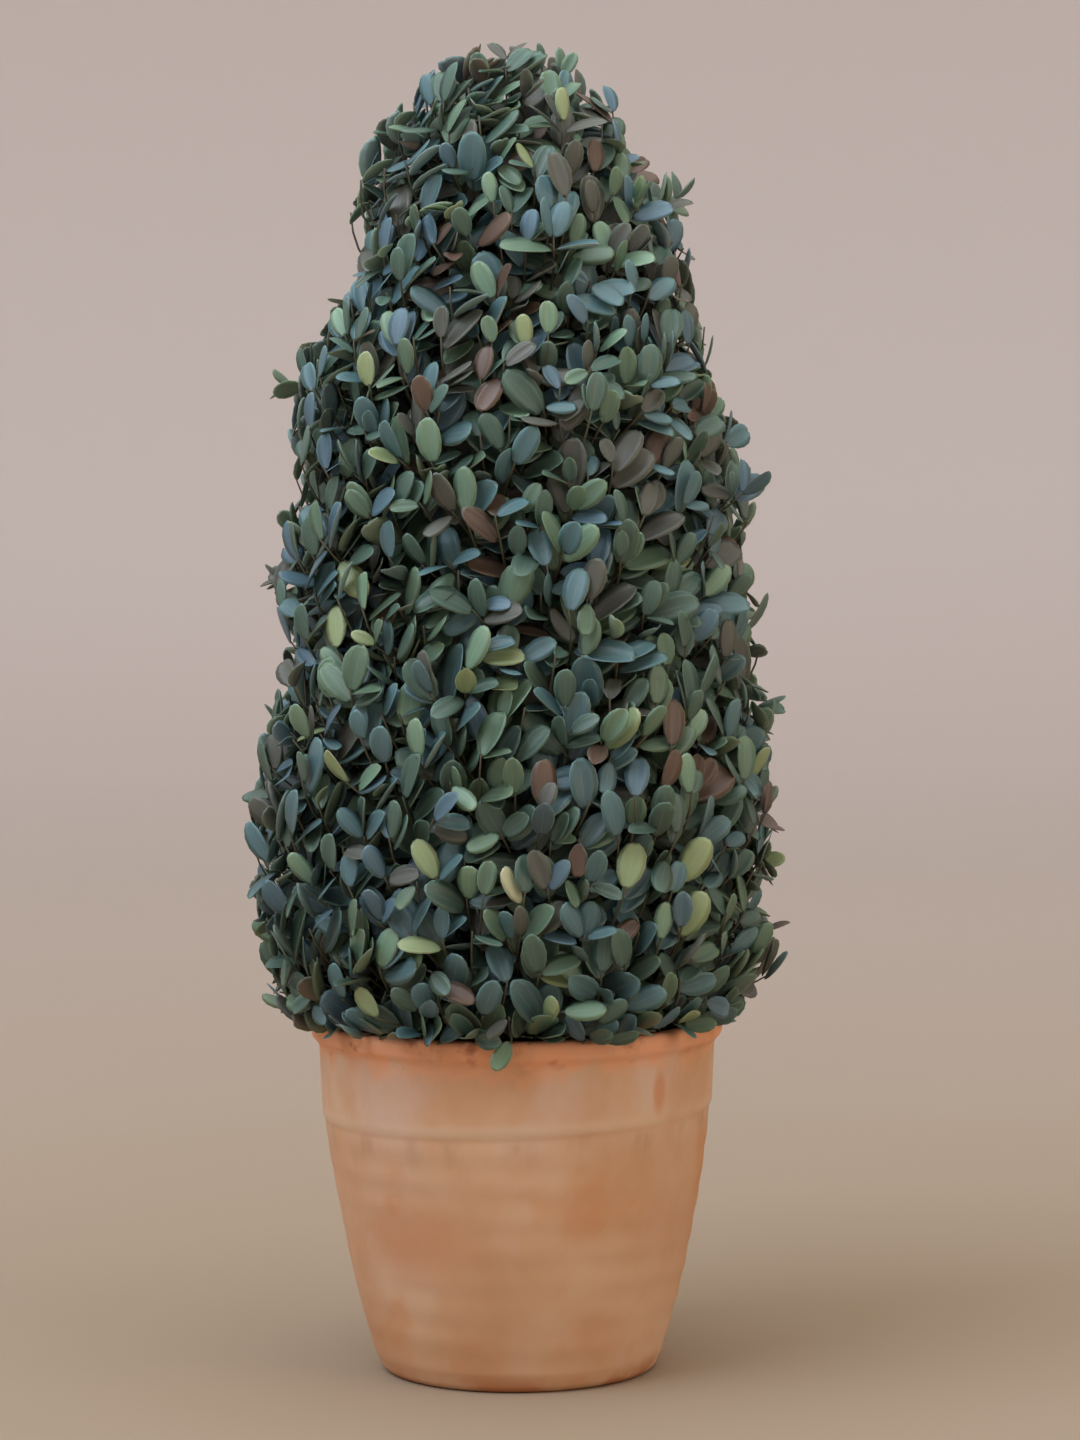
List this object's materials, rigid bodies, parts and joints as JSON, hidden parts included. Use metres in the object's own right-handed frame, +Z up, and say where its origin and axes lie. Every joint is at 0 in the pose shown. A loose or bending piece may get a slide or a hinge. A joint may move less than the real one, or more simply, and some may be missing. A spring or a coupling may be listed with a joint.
{
  "type": "potted boxwood cone topiary",
  "caption": "Small boxwood clipped to a tall rounded cone, growing from a lime-washed terracotta pot with a banded rim; a decorative plant for a table, step or sill",
  "frame": {"origin": "centre of the pot's flat underside, on the floor", "axes": "+Z points up along the plant; the side seen in the picture faces -Y; +X is to its right"},
  "size_m": [0.2172, 0.2182, 0.5383],
  "materials": {
    "terracotta": "unglazed clay, lime-washed, worn",
    "soil": "crumbly potting compost",
    "bark": "dry grey-brown bark",
    "leaves": "leathery evergreen leaves"
  },
  "bodies": {
    "root": {"terracotta_pot": "terracotta", "potting_soil": "soil", "stem": "bark", "foliage": "leaves"}
  },
  "joints": []
}
